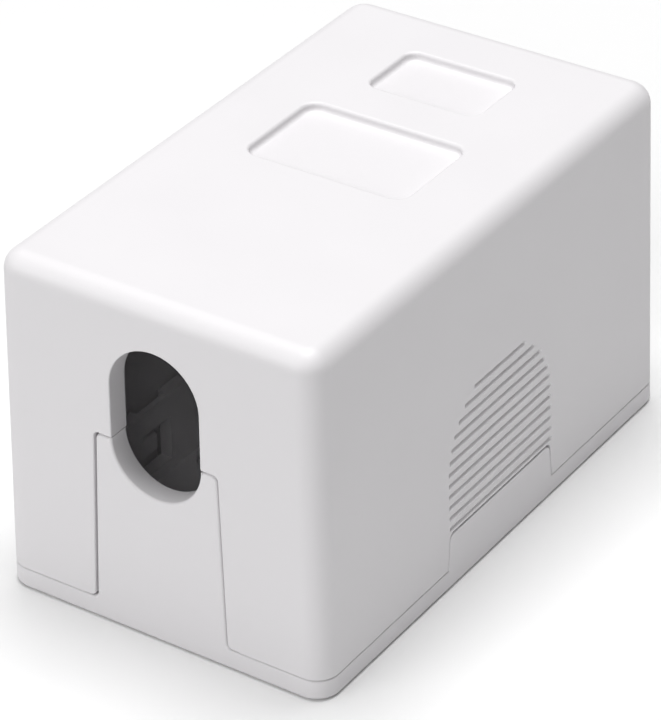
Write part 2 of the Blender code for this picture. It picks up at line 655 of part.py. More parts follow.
def make_wire_caps(material):
    """Caps over the towers, notched where the conductors run in from the side."""
    for side, word in ((-1, "left"), (1, "right")):
        inner_x = TOWER_INNER - SEAT_GAP
        outer_x = TOWER_OUTER + SEAT_GAP
        inside = sorted((side * inner_x, side * outer_x))
        outside = (inside[0] - CAP_WALL, inside[1] + CAP_WALL)
        inner_end = TOWER_REAR - SEAT_GAP
        low = TOWER_BOTTOM - SEAT_GAP
        high = TOWER_TOP + SEAT_GAP
        skirt_end = inner_end + CAP_SKIRT
        cap = box("wire_cap_" + word, (outside[0], inner_end - CAP_ROOF, low - CAP_WALL),
                  (outside[1], skirt_end, high + CAP_WALL), material)
        cut(cap, box("cap_hollow_" + word, (inside[0], inner_end, low),
                     (inside[1], skirt_end + OVERSHOOT, high)))
        for row, z in enumerate(terminal_heights()):
            cut(cap, box(f"cap_notch_{word}_{row}",
                         (outside[0] - OVERSHOOT, inner_end + SEAT_GAP, z - CAP_NOTCH / 2),
                         (outside[1] + OVERSHOOT, skirt_end + OVERSHOOT, z + CAP_NOTCH / 2)))
        finish(cap)


def move_origin(part, point):
    """Puts an object's origin on its joint axis without moving its mesh."""
    part.data.transform(part.matrix_world)
    part.matrix_world.identity()
    for vert in part.data.vertices:
        vert.co = [vert.co[i] - point[i] for i in range(3)]
    part.location = point


# ---- Build -----------------------------------------------------------------------------------
for old in list(bpy.data.objects):
    bpy.data.objects.remove(old)
PARTS = new_collection("outlet_box")
CUTTERS = new_collection("cutters")

make_cover(plastic("cover_abs", (0.88, 0.88, 0.87), 0.42))
make_base(plastic("base_abs", (0.87, 0.87, 0.86), 0.45))
make_pads(plastic("foam_tape", (0.93, 0.93, 0.91), 0.95))
make_jack_housing(plastic("jack_abs", (0.82, 0.82, 0.80), 0.4))
latch = make_latch(plastic("latch_abs", (0.82, 0.82, 0.80), 0.4))
move_origin(latch, (0, *LATCH_PIVOT))
make_contact_carrier(plastic("carrier_pbt", (0.05, 0.05, 0.05), 0.5))
make_contact_wires(plastic("gold_plate", (0.83, 0.62, 0.25), 0.25, 1.0))
make_circuit_board(plastic("board_green", (0.03, 0.22, 0.09), 0.5))
make_terminal_block(plastic("terminal_pc", (0.86, 0.86, 0.84), 0.35))
make_blades(plastic("tin_plate", (0.72, 0.72, 0.73), 0.35, 1.0))
make_wire_caps(plastic("cap_pc", (0.75, 0.78, 0.8), 0.3))
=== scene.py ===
# %% [markdown]
# # A one-port network outlet box
# The box is two mouldings of white ABS: a deep cover that slides down over a flat base. The cable comes
# in through a hole that both share, and a modular jack faces out of the other end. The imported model
# is loaded first as a fixed frame, so every size below is read from it or named in millimetres.

# %% Load the frame
import json
import math

import bmesh
import bpy
import numpy as np
from mathutils import Matrix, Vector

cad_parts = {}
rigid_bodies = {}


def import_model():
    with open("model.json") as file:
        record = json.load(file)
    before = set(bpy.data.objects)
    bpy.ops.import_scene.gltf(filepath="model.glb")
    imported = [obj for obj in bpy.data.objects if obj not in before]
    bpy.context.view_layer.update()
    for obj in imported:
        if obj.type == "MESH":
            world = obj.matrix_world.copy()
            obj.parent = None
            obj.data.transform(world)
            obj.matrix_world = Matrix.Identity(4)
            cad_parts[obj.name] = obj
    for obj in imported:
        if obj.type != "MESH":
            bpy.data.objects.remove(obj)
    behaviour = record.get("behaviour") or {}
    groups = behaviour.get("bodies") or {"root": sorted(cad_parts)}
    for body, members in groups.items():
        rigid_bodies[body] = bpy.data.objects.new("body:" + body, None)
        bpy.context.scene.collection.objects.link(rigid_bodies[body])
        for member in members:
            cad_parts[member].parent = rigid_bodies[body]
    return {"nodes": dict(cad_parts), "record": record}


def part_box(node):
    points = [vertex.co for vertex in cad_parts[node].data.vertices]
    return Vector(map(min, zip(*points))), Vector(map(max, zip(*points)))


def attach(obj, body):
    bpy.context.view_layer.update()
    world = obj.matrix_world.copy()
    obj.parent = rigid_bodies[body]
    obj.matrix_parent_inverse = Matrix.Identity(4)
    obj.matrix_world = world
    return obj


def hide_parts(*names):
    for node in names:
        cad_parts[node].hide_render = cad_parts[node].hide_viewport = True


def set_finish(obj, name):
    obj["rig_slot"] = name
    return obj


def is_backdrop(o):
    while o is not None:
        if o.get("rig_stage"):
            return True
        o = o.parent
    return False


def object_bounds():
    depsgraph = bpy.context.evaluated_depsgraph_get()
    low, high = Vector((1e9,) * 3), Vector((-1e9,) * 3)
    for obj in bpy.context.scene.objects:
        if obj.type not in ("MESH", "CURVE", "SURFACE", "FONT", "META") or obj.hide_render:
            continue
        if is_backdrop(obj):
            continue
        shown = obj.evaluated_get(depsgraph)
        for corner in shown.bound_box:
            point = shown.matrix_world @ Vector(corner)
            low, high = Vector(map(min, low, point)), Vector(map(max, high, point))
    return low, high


for startup in list(bpy.data.objects):
    bpy.data.objects.remove(startup)
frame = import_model()
MM = 0.001
cad_low, cad_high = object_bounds()
print("CAD box in mm:", [round(v / MM, 2) for v in (*cad_low, *cad_high)])

# %% [markdown]
# ## Camera
# A long lens close to a small product gives the mild perspective of a catalogue picture. The camera
# looks down at the cable end and the right-hand side.

# %% Camera
CAMERA_PLACE = (0.156123, -0.229806, 0.192920)
CAMERA_FORWARD = np.array((-0.474653, 0.693229, -0.542345))
CAMERA_ROLL = -0.0207
SENSOR = 24.0
VERTICAL_VIEW = math.radians(11.1931)


def camera_matrix(place, forward, roll):
    """Right = forward x up, turned by roll about the line of sight; the camera looks along its own -Z."""
    right = np.cross(forward, (0.0, 0.0, 1.0))
    right = right / np.linalg.norm(right)
    up = np.cross(right, forward)
    turned_right = right * math.cos(roll) + up * math.sin(roll)
    turned_up = up * math.cos(roll) - right * math.sin(roll)
    made = np.eye(4)
    made[:3, 0], made[:3, 1], made[:3, 2], made[:3, 3] = turned_right, turned_up, -forward, place
    return Matrix(made.tolist())


camera_data = bpy.data.cameras.new("camera")
camera_data.sensor_fit = "VERTICAL"
camera_data.sensor_height = SENSOR
camera_data.lens = SENSOR / 2 / math.tan(VERTICAL_VIEW / 2)
camera = bpy.data.objects.new("camera", camera_data)
bpy.context.scene.collection.objects.link(camera)
camera.matrix_world = camera_matrix(CAMERA_PLACE, CAMERA_FORWARD, CAMERA_ROLL)
bpy.context.scene.camera = camera
print("lens", round(camera_data.lens, 2), "mm")

# %% [markdown]
# ## Studio
# White plastic is judged by its shading alone, so the light has one clear order: the top is brightest,
# the cable end a little darker and the long side darker again. A soft panel overhead sets that order,
# a second one stands beyond the cable end, and a third, higher and on the other side, reaches a little
# way in through the cable hole. The surroundings fill the rest evenly.

# %% Light and floor
def area_light(name, place, target, size, power):
    """A square lamp at a place, turned to look at a target."""
    data = bpy.data.lights.new(name, "AREA")
    data.shape = "SQUARE"
    data.size = size
    data.energy = power
    lamp = bpy.data.objects.new(name, data)
    bpy.context.scene.collection.objects.link(lamp)
    look = np.array(target, float) - np.array(place, float)
    look = look / np.linalg.norm(look)
    side = np.cross(look, (0.0, 0.0, 1.0) if abs(look[2]) < 0.99 else (0.0, 1.0, 0.0))
    side = side / np.linalg.norm(side)
    made = np.eye(4)
    made[:3, 0], made[:3, 1], made[:3, 2], made[:3, 3] = side, np.cross(side, look), -look, place
    lamp.matrix_world = Matrix(made.tolist())
    return lamp


area_light("overhead", (-0.02, 0.08, 0.85), (0, 0, 0), 0.50, 7.9)
area_light("cable_end", (-0.35, -0.75, 0.35), (0, -0.03, 0.015), 0.45, 2.3)
area_light("fill", (0.40, -0.80, 0.62), (0, -0.02, 0.015), 0.42, 1.75)

world = bpy.data.worlds.new("surroundings")
world.use_nodes = True
world.node_tree.nodes["Background"].inputs["Color"].default_value = (1.0, 1.0, 1.0, 1.0)
world.node_tree.nodes["Background"].inputs["Strength"].default_value = 0.09
bpy.context.scene.world = world
bpy.context.scene.view_settings.view_transform = "Standard"

# %% [markdown]
# ## Sizes shared by the two mouldings
# All four walls lean inwards a little as they rise, so that the part leaves its steel mould. Every
# cut in a wall is therefore described by how deep it goes in from that leaning face.

# %% Housing sizes
HALF_X, HALF_Y, TOP = cad_high.x, cad_high.y, cad_high.z
WALL = 2.2 * MM
FLOOR = 2.1 * MM
LEAN = math.tan(math.radians(1.15))
CORNER = 2.2 * MM                 # round of the upright edges
INNER_CORNER = 1.0 * MM           # the same inside the cover
INNER_ROUND = 0.6 * MM            # round between the cover's ceiling and its walls
TOP_ROUND = 1.9 * MM              # round of the top's edge
SEAM = 0.09 * MM                  # gap that shows between the two mouldings
FOOT_GAP = 0.07 * MM              # gap between the cover's lower edge and the base's rim
FOOT_ROUND = 0.07 * MM            # broken edge of the cover's foot
SLACK = 0.11 * MM                 # further play at the top of the side tabs and one side of the tongue
LIP = 0.12 * MM                   # broken edge of a moulded part
SPLIT = 19.4 * MM                 # height where the tongue ends and the arch begins
HOLE = 4.6 * MM                   # half width of the cable hole
HOLE_TOP = 24.75 * MM + HOLE      # centre of its upper arch plus the radius
TONGUE = (6.88 * MM, 6.27 * MM)   # half width at the foot and at the top
TAB = (8.75 * MM, 8.4 * MM)       # the same for the side tabs
TAB_TOP = 5.6 * MM
PANEL = (10.1 * MM, 9.6 * MM)     # and for the port panel
PANEL_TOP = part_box("base_tray")[1].z
PORT_HALF = 7.55 * MM
PORT = (6.3 * MM, 23.0 * MM)      # bottom and top of the opening round the jack
BURIED = 0.9 * MM                 # height, below the seam, at which the joined plates start
TURN_OUT = 1.2 * MM               # how far the tongue's foot runs out along the seam
FLARE = 0.55 * MM                 # turn where the tongue's side runs into the seam
SLIVER = 0.002 * MM               # keeps joined faces out of exactly the same plane
print("panel top", round(PANEL_TOP / MM, 2), "mm, seam", SEAM / MM, "mm")

# %% [markdown]
# ## How the surfaces are worked out
# Every shell here is one idea: an outline with rounded corners is carried along a profile. The outline
# can grow or shrink on the way, which rounds the edges. Outline and profile are arrays, so a whole
# surface is one sum of arrays, and the same function makes a solid or the tool that cuts it.

# %% Outlines
def rounded_outline(corners, radii, grow=0.0, steps=8):
    """Points of a polygon, anticlockwise, with its corners rounded and all of it grown by a distance.

    Each edge moves out by `grow`; a corner's radius becomes radius + grow where the outline turns
    left and radius - grow where it turns right. An arc is centre + radius * (cos, sin).
    """
    corners = np.asarray(corners, float)
    edge = np.roll(corners, -1, axis=0) - corners
    edge = edge / np.linalg.norm(edge, axis=1, keepdims=True)
    before, after = np.roll(edge, 1, axis=0), edge
    out_before = np.stack([before[:, 1], -before[:, 0]], axis=1)
    out_after = np.stack([after[:, 1], -after[:, 0]], axis=1)
    share = 1 + (out_before * out_after).sum(axis=1, keepdims=True)
    moved = corners + grow * (out_before + out_after) / share
    turn = np.arctan2(before[:, 0] * after[:, 1] - before[:, 1] * after[:, 0], (before * after).sum(axis=1))
    radius = np.maximum(np.asarray(radii, float) + grow * np.sign(turn), 1e-6)
    start = moved - before * (radius * np.tan(np.abs(turn) / 2))[:, None]
    centre = start - out_before * (radius * np.sign(turn))[:, None]
    swing = np.linspace(0.0, 1.0, steps + 1)[None, :] * turn[:, None]
    arm = (start - centre)[:, None, :]
    cos, sin = np.cos(swing), np.sin(swing)
    turned = np.stack([arm[..., 0] * cos - arm[..., 1] * sin, arm[..., 0] * sin + arm[..., 1] * cos], axis=-1)
    return (centre[:, None, :] + turned).reshape(-1, 2)


def edge_round(radius, steps=4):
    """Profile of a rounded edge: (depth, setback) pairs with setback = r - sqrt(r^2 - (r - depth)^2)."""
    angle = np.linspace(0.0, math.pi / 2, steps + 1)
    return np.stack([radius * (1 - np.cos(angle)), radius * (1 - np.sin(angle))], axis=1)


print("corner test:", rounded_outline([(0, 0), (1, 0), (1, 1), (0, 1)], [0.2] * 4).shape, "points")


# %% Meshes from grids
def mesh_from_rings(name, rings):
    """Closed surface through a stack of rings, an array of (ring, point, xyz), capped at both ends."""
    rows, columns = rings.shape[:2]
    first = np.arange(rows - 1)[:, None] * columns
    here, ahead = np.arange(columns)[None, :], (np.arange(columns)[None, :] + 1) % columns
    quads = np.stack([first + here, first + ahead, first + ahead + columns, first + here + columns], axis=-1)
    caps = [list(range(columns)), list(range((rows - 1) * columns, rows * columns))]
    mesh = bpy.data.meshes.new(name)
    mesh.from_pydata(rings.reshape(-1, 3).tolist(), [], quads.reshape(-1, 4).tolist() + caps)
    work = bmesh.new()
    work.from_mesh(mesh)
    bmesh.ops.remove_doubles(work, verts=work.verts, dist=1e-7)
    bmesh.ops.recalc_face_normals(work, faces=work.faces)
    if work.calc_volume(signed=True) < 0:
        bmesh.ops.reverse_faces(work, faces=work.faces)
    work.to_mesh(mesh)
    work.free()
    return mesh


def new_object(name, mesh):
    made = bpy.data.objects.new(name, mesh)
    bpy.context.scene.collection.objects.link(made)
    return made


def on_wall(side, flat, depth):
    """Points of a leaning wall: out = half size - height * lean - depth, on the wall that `side` names."""
    along, height = flat[..., 0], flat[..., 1]
    walls = {"front": (-1, HALF_Y), "back": (1, HALF_Y), "left": (-1, HALF_X), "right": (1, HALF_X)}
    sign, half = walls[side]
    out = sign * (half - height * LEAN - depth)
    if side in ("front", "back"):
        return np.stack([along, out, height], axis=-1)
    return np.stack([out, along, height], axis=-1)


def wall_tool(name, side, corners, radii, lip=LIP, through=WALL + 1.0 * MM, steps=8):
    """Tool that cuts an outline through a wall and leaves its outer edge rounded by `lip`."""
    profile = edge_round(lip)[::-1]
    depths = [through, *(profile[:, 0] - SLIVER), -1.0 * MM]
    grows = [0.0, *profile[:, 1], lip + 0.2 * MM]
    rings = [on_wall(side, rounded_outline(corners, radii, g, steps), d) for d, g in zip(depths, grows)]
    return new_object(name, mesh_from_rings(name, np.array(rings)))


def wall_plate(name, side, corners, radii, thick=WALL, lip=LIP, inner=0.0, steps=8):
    """Plate flush with a wall, `thick` deep; `lip` rounds its outer edge and `inner` its inner one."""
    profile, back = edge_round(lip)[::-1], edge_round(inner) if inner else np.zeros((1, 2))
    depths = [*(thick - back[:, 0]), *(profile[:, 0] + SLIVER)]
    grows = [*(-back[:, 1]), *(-profile[:, 1])]
    rings = [on_wall(side, rounded_outline(corners, radii, g, steps), d) for d, g in zip(depths, grows)]
    return new_object(name, mesh_from_rings(name, np.array(rings)))


def upright_tool(name, corners, radii, rows, steps=8):
    """Tool or solid through (height, grow) rows of one outline that lies in the x-y plane."""
    rings = [np.column_stack([rounded_outline(corners, radii, grow, steps),
                              np.full(len(corners) * (steps + 1), height)]) for height, grow in rows]
    return new_object(name, mesh_from_rings(name, np.array(rings)))


def block(name, low, high):
    """Plain box between two corners, as two square rings."""
    x, y = np.array([low[0], high[0], high[0], low[0]]), np.array([low[1], low[1], high[1], high[1]])
    rings = np.array([np.column_stack([x, y, np.full(4, z)]) for z in (low[2], high[2])])
    return new_object(name, mesh_from_rings(name, rings))


def apply_tools(piece, steps):
    """Joins or cuts a piece with each tool in turn, bakes the result and throws the tools away."""
    for tool, operation in steps:
        change = piece.modifiers.new(tool.name, "BOOLEAN")
        change.operation = operation
        change.solver = "EXACT"
        change.object = tool
    bpy.context.view_layer.update()
    shape = bpy.data.meshes.new_from_object(piece.evaluated_get(bpy.context.evaluated_depsgraph_get()))
    piece.modifiers.clear()
    piece.data = shape
    for tool, _ in steps:
        bpy.data.objects.remove(tool)
    return piece


def smooth(piece, angle=32):
    """Smooth shading that keeps flat faces flat: sharp edges by angle, then normals weighted by area."""
    piece.data.shade_smooth()
    piece.data.set_sharp_from_angle(angle=math.radians(angle))
    weighted = piece.modifiers.new("flat faces", "WEIGHTED_NORMAL")
    weighted.keep_sharp = True
    return piece


# %% [markdown]
# ## Cover
# The real cover is one deep moulding of even wall. Its surface is a rounded rectangle carried up the
# leaning wall, over the rounded top edge, and closed by the flat top; the inside is the same, one wall
# smaller. The cable arch, the notches for the base, the label recesses and the grip lines are then cut
# with tools made the same way, whose flared ends leave every edge slightly broken, as moulding does.

# %% Cover shell
def box_ring(half_x, half_y, radius, height, steps=12):
    """Ring of a rounded rectangle at one height; its half sizes are taken at that height."""
    corners = [(half_x, -half_y), (half_x, half_y), (-half_x, half_y), (-half_x, -half_y)]
    flat = rounded_outline(corners, [radius] * 4, 0.0, steps)
    return np.column_stack([flat, np.full(len(flat), height)])


def cover_rings():
    """Inner wall from its ceiling down, round the lower edge, then up the outer wall and over the top."""
    foot, ceiling = FLOOR + FOOT_GAP, TOP - WALL
    rings = []
    for angle in np.linspace(math.pi / 2, 0.0, 5):
        inset = INNER_ROUND * (1 - math.cos(angle))
        height = ceiling - INNER_ROUND * (1 - math.sin(angle))
        rings.append((WALL + inset, INNER_CORNER - 0.9 * inset, height))
    rings.append((WALL, INNER_CORNER, foot))
    for depth, setback in edge_round(FOOT_ROUND):
        rings.append((setback, CORNER, foot + depth))
    for angle in np.linspace(0.0, math.pi / 2, 13):
        inset = TOP_ROUND * (1 - math.cos(angle))
        rings.append((inset, CORNER - inset, TOP - TOP_ROUND * (1 - math.sin(angle))))
    return np.array([box_ring(HALF_X - h * LEAN - i, HALF_Y - h * LEAN - i, r, h) for i, r, h in rings])


cover = new_object("cover_shell", mesh_from_rings("cover_shell", cover_rings()))
print("cover shell:", len(cover.data.polygons), "faces")

# %% [markdown]
# The base shows through the cover in four places, so each opening is cut from the same outline as the
# piece that fills it, widened by the seam. The snap nubs are joined on in the same pass.

# %% Openings in the cover
def slope(half_widths, bottom, top, height):
    """Half width of a tapering tab at a height."""
    return half_widths[0] + (half_widths[1] - half_widths[0]) * (height - bottom) / (top - bottom)


def tab_corners(half_widths, top, gap, above=0.0, foot=BURIED):
    """Corner points of a tapering tab that starts below the seam; gap widens it for a notch."""
    low, high = slope(half_widths, FLOOR, top, foot) + gap, half_widths[1] + gap
    return [(low, foot), (high, top + gap + above), (-high, top + gap + above), (-low, foot)]


def tongue_side(gap, edge):
    """Right side of the tongue: out along the seam, a turn of `FLARE` radius, then up to the shoulder."""
    low = slope(TONGUE, FLOOR, SPLIT, edge) + gap
    shoulder = (TONGUE[1] + gap, SPLIT + min(gap, SEAM))
    return [(low + TURN_OUT, BURIED), (low + TURN_OUT, edge), (low, edge), shoulder]


def arch_radii(shoulder, right, left):
    """Corner radii round the cable opening: seam, shoulder, hole, then the same back on the left."""
    return [0.0, 0.0, FLARE, shoulder, right, HOLE, HOLE, left, shoulder, FLARE, 0.0, 0.0]


def gate_corners(gap_left, gap_right):
    """The cover's end opening: room for the tongue, then the arch of the cable hole."""
    edge = FLOOR + FOOT_GAP + SLIVER
    right = tongue_side(gap_right, edge) + [(HOLE, SPLIT + SEAM), (HOLE, HOLE_TOP)]
    left = tongue_side(gap_left, edge) + [(HOLE, SPLIT + SEAM), (HOLE, HOLE_TOP)]
    return right + [(-x, z) for x, z in reversed(left)]


def recess_tool(name, half, near, far, corner, depth=0.8 * MM, lip=0.32 * MM, fillet=0.4 * MM):
    """Rounded rectangle sunk in the top: filleted floor, steep wall, softly rounded lip."""
    corners = [(half, near), (half, far), (-half, far), (-half, near)]
    floor = TOP - depth
    rows = [(floor + fillet * (1 - math.cos(a)), -fillet * (1 - math.sin(a)))
            for a in np.linspace(0, math.pi / 2, 5)]
    rows += [(TOP - depth_in, setback) for depth_in, setback in edge_round(lip)[::-1]]
    rows += [(TOP + 1.0 * MM, lip)]
    return upright_tool(name, corners, [corner] * 4, rows, steps=8)


def mirrored(radii):
    """Corner radii of one half, followed by the same ones backwards."""
    return radii + radii[::-1]


NUB_REACH = 0.8 * MM


def nub_tool(name, side, end):
    """Snap nub inside the cover: a rounded rectangle that shrinks as (cos, sin) of its rounded nose."""
    near, far, middle, tall = 9.35 * MM, 12.35 * MM, 5.2 * MM, 1.1 * MM
    y0, y1 = sorted((end * near, end * far))
    corners = [(y1, middle - tall), (y1, middle + tall), (y0, middle + tall), (y0, middle - tall)]
    angle = np.linspace(0.0, math.pi / 2, 5)
    depths = [WALL - 0.3 * MM, *(WALL + NUB_REACH * np.sin(angle))]
    grows = [0.0, *(-0.45 * MM * (1 - np.cos(angle)))]
    rings = [on_wall(side, rounded_outline(corners, [0.5 * MM] * 4, g), d) for d, g in zip(depths, grows)]
    return new_object(name, mesh_from_rings(name, np.array(rings)))


radii_tab = mirrored([0.1 * MM, 0.7 * MM])
radii_panel = mirrored([0.1 * MM, 0.6 * MM])
gate_radii = arch_radii(0.5 * MM, 0.2 * MM, 0.06 * MM)
tools = [(nub_tool(f"nub_{side}_{end}", side, end), "UNION")
         for side in ("left", "right") for end in (-1, 1)]
tools += [
    (wall_tool("gate", "front", gate_corners(SEAM + SLACK, SEAM), gate_radii, lip=0.15 * MM, steps=16),
     "DIFFERENCE"),
    (wall_tool("port_gate", "back", tab_corners(PANEL, PANEL_TOP, SEAM), radii_panel), "DIFFERENCE"),
    (wall_tool("notch_left", "left", tab_corners(TAB, TAB_TOP, SEAM, SLACK), radii_tab), "DIFFERENCE"),
    (wall_tool("notch_right", "right", tab_corners(TAB, TAB_TOP, SEAM, SLACK), radii_tab), "DIFFERENCE"),
    (recess_tool("large_recess", 8.3 * MM, -2.6 * MM, 8.1 * MM, 1.4 * MM), "DIFFERENCE"),
    (recess_tool("small_recess", 5.8 * MM, 13.2 * MM, 20.8 * MM, 1.2 * MM), "DIFFERENCE"),
]
apply_tools(cover, tools)
print("cover after its openings:", len(cover.data.polygons), "faces")

# %% [markdown]
# Each long side has a patch of shallow grooves for finger and thumb. The patch has straight sides and
# a round top, so above the springing height the half length follows a circle.

# %% Grip lines
GROOVES = 12
GROOVE_FIRST = 6.25 * MM          # height of the lowest one
GROOVE_PITCH = 1.135 * MM
GRIP_HALF = 8.65 * MM             # half length, and radius of the round top
GRIP_SHIFT = 0.1 * MM             # how far the patch sits towards the port end
GRIP_ARCH = 11.2 * MM             # springing height


def groove_tool(name, side, height, half, width=0.66 * MM, depth=0.30 * MM, along=5):
    """One grip line: depth * cos^3 across it, fading as a quarter sine at both of its ends."""
    t = np.linspace(-1.0, 1.0, 11)
    v = np.cos(t * math.pi / 2) ** 3
    end = np.linspace(0.0, 1.0, along)
    s = GRIP_SHIFT + np.concatenate([-half + 0.22 * MM * end, half - 0.22 * MM * end[::-1]])
    fade = np.concatenate([np.sin(end * math.pi / 2), np.sin(end[::-1] * math.pi / 2)])
    sunk = depth * fade[:, None] * v[None, :] - 0.004 * MM
    flat = np.stack(np.meshgrid(s, height + t * width / 2, indexing="ij"), axis=-1)
    bottom = on_wall(side, flat, sunk)
    top = on_wall(side, flat[:, ::-1], np.full(sunk.shape, -0.3 * MM))
    rings = np.concatenate([bottom, top], axis=1)
    return new_object(name, mesh_from_rings(name, rings))


grips = []
for number in range(GROOVES):
    height = GROOVE_FIRST + number * GROOVE_PITCH
    half = math.sqrt(GRIP_HALF ** 2 - max(0.0, height - GRIP_ARCH) ** 2)
    for side in ("left", "right"):
        grips.append((groove_tool(f"groove_{side}_{number}", side, height, half), "DIFFERENCE"))
apply_tools(cover, grips)
smooth(cover)
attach(cover, "cover_shell")
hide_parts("cover")
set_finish(cover, "cover_abs")
print("cover with grips:", len(cover.data.polygons), "faces")

# %% [markdown]
# ## Base
# The base is a flat tray whose rim, side tabs, cable tongue and port panel fill the gaps that the
# cover leaves, flush with its walls. The tray is one more rounded rectangle; the tabs are plates that
# follow the leaning walls. What stands inside, the rails, the cage and the tie anchor, keeps the
# frame's own shape with its edges broken, because those parts meet the jack.

# %% Tray, tongue, tabs and panel
def tray_rings(foot_round=0.5 * MM):
    """Rounded foot, leaning rim, broken upper edge, then the flat floor."""
    rings = [(foot_round * (1 - math.sin(a)), foot_round * (1 - math.cos(a)))
             for a in np.linspace(0, math.pi / 2, 5)]
    rings += [(setback, FLOOR - depth) for depth, setback in edge_round(0.18 * MM)[::-1]]
    return np.array([box_ring(HALF_X - h * LEAN - i, HALF_Y - h * LEAN - i, CORNER, h) for i, h in rings])


def tongue_corners():
    """Tongue with the lower half of the round cable hole bitten out of its top."""
    right = tongue_side(0.0, FLOOR + SLIVER) + [(HOLE, SPLIT), (HOLE, SPLIT - HOLE)]
    return right + [(-x, z) for x, z in reversed(right)]


base = new_object("base_shell", mesh_from_rings("base_shell", tray_rings()))
tongue_radii = arch_radii(0.6 * MM, 0.25 * MM, 0.08 * MM)
port_corners = [(PORT_HALF, PORT[0]), (PORT_HALF, PORT[1]), (-PORT_HALF, PORT[1]), (-PORT_HALF, PORT[0])]
pad_box = [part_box("adhesive_pad_" + word) for word in ("front", "rear")]
PAD_PLAY = 0.25 * MM              # room round a pad in its recess
SCREW = (9.395 * MM, -4.5 * MM)   # place of the right-hand screw
SCREW_HOLE = 1.8 * MM             # radii of the hole and of the room for the head
SCREW_HEAD = 3.3 * MM
HEAD_SEAT = 1.2 * MM              # height at which the head sits


def round_tool(name, x, y, radius, low, high):
    """Upright cylinder: a square outline whose corners are rounded until they meet."""
    right, left = x + radius, x - radius
    corners = [(right, y - radius), (right, y + radius), (left, y + radius), (left, y - radius)]
    return upright_tool(name, corners, [radius] * 4, [(low, 0.0), (high, 0.0)], steps=10)


steps = [
    (wall_plate("tongue", "front", tongue_corners(), tongue_radii, lip=0.26 * MM, inner=0.14 * MM, steps=16),
     "UNION"),
    (wall_plate("tab_left", "left", tab_corners(TAB, TAB_TOP, 0.0), radii_tab), "UNION"),
    (wall_plate("tab_right", "right", tab_corners(TAB, TAB_TOP, 0.0), radii_tab), "UNION"),
    (wall_plate("port_panel", "back", tab_corners(PANEL, PANEL_TOP, 0.0), radii_panel), "UNION"),
    (wall_tool("port_opening", "back", port_corners, [0.4 * MM] * 4, lip=0.2 * MM), "DIFFERENCE"),
]
for side in (-1, 1):
    x, y = side * SCREW[0], SCREW[1]
    steps.append((round_tool(f"screw_hole_{side}", x, y, SCREW_HOLE, -MM, 3 * MM), "DIFFERENCE"))
    steps.append((round_tool(f"screw_head_{side}", x, y, SCREW_HEAD, HEAD_SEAT, 3 * MM), "DIFFERENCE"))
for low, high in pad_box:
    near = (low.x - PAD_PLAY, low.y - PAD_PLAY, -MM)
    far = (high.x + PAD_PLAY, high.y + PAD_PLAY, high.z + PAD_PLAY)
    steps.append((block("pad_recess", near, far), "DIFFERENCE"))
apply_tools(base, steps)
smooth(base)
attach(base, "base")
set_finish(base, "base_abs")
print("base shell:", len(base.data.polygons), "faces")

# %% [markdown]
# The frame's tray holds the rails, the cage and the tie anchor. Cutting away all of it that lies in the
# floor or the walls leaves just those, and their cut faces are then pushed into the new shell.

# %% What stands inside the base
def softened(node, name, width, segments=2, inside=None, angle=30):
    """Copy of a frame node: loose triangles merged, flat faces joined again, edges broken by a Bevel."""
    mesh = frame["nodes"][node].data.copy()
    mesh.materials.clear()
    work = bmesh.new()
    work.from_mesh(mesh)
    bmesh.ops.remove_doubles(work, verts=work.verts, dist=2e-7)
    bmesh.ops.dissolve_limit(work, angle_limit=math.radians(0.5), verts=work.verts, edges=work.edges)
    work.to_mesh(mesh)
    work.free()
    piece = new_object(name, mesh)
    if inside:
        apply_tools(piece, [(inside, "INTERSECT")])
    bevel = piece.modifiers.new("broken edges", "BEVEL")
    bevel.width = width
    bevel.segments = segments
    bevel.limit_method = "ANGLE"
    bevel.angle_limit = math.radians(angle)
    bevel.loop_slide = False
    smooth(piece, 40)
    return piece


def leaning_room(name, clear):
    """Block that fills the housing's inside: half size = outer half size - height * lean - clear."""
    rings = np.array([box_ring(HALF_X - h * LEAN - clear, HALF_Y - h * LEAN - clear, 0.3 * MM, h, steps=3)
                      for h in (FLOOR + 0.005 * MM, TOP)])
    return new_object(name, mesh_from_rings(name, rings))


def root_in_shell(mesh, clear, root=0.3 * MM):
    """Moves cut faces out by `root`: those at half size - height * lean - clear, and the floor's."""
    flat = np.empty(len(mesh.vertices) * 3, np.float32)
    mesh.vertices.foreach_get("co", flat)
    x, y, z = flat.reshape(-1, 3).T.astype(float)
    for axis, half in ((x, HALF_X), (y, HALF_Y)):
        on_cut = np.abs(half - z * LEAN - clear - np.abs(axis)) < 0.002 * MM
        axis += np.sign(axis) * root * on_cut
    z -= root * (z < FLOOR + 0.01 * MM)
    mesh.vertices.foreach_set("co", np.stack([x, y, z], axis=1).astype(np.float32).ravel())
    mesh.update()


CLEAR = WALL + 0.05 * MM
inner_frame = softened("base_tray", "base_frame", 0.12 * MM, inside=leaning_room("inner_room", CLEAR))
root_in_shell(inner_frame.data, CLEAR)
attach(inner_frame, "base")
for piece in (base, inner_frame):
    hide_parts("base_tray")
    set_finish(piece, "base_abs")
print("inner frame:", len(inner_frame.data.polygons), "faces")

# %% [markdown]
# ## Jack, terminals and pads
# These small mouldings keep the frame's shape. Each gets a broken edge, because a real moulded or
# stamped edge is never sharp enough to vanish, and that thin highlight is what shows its form.

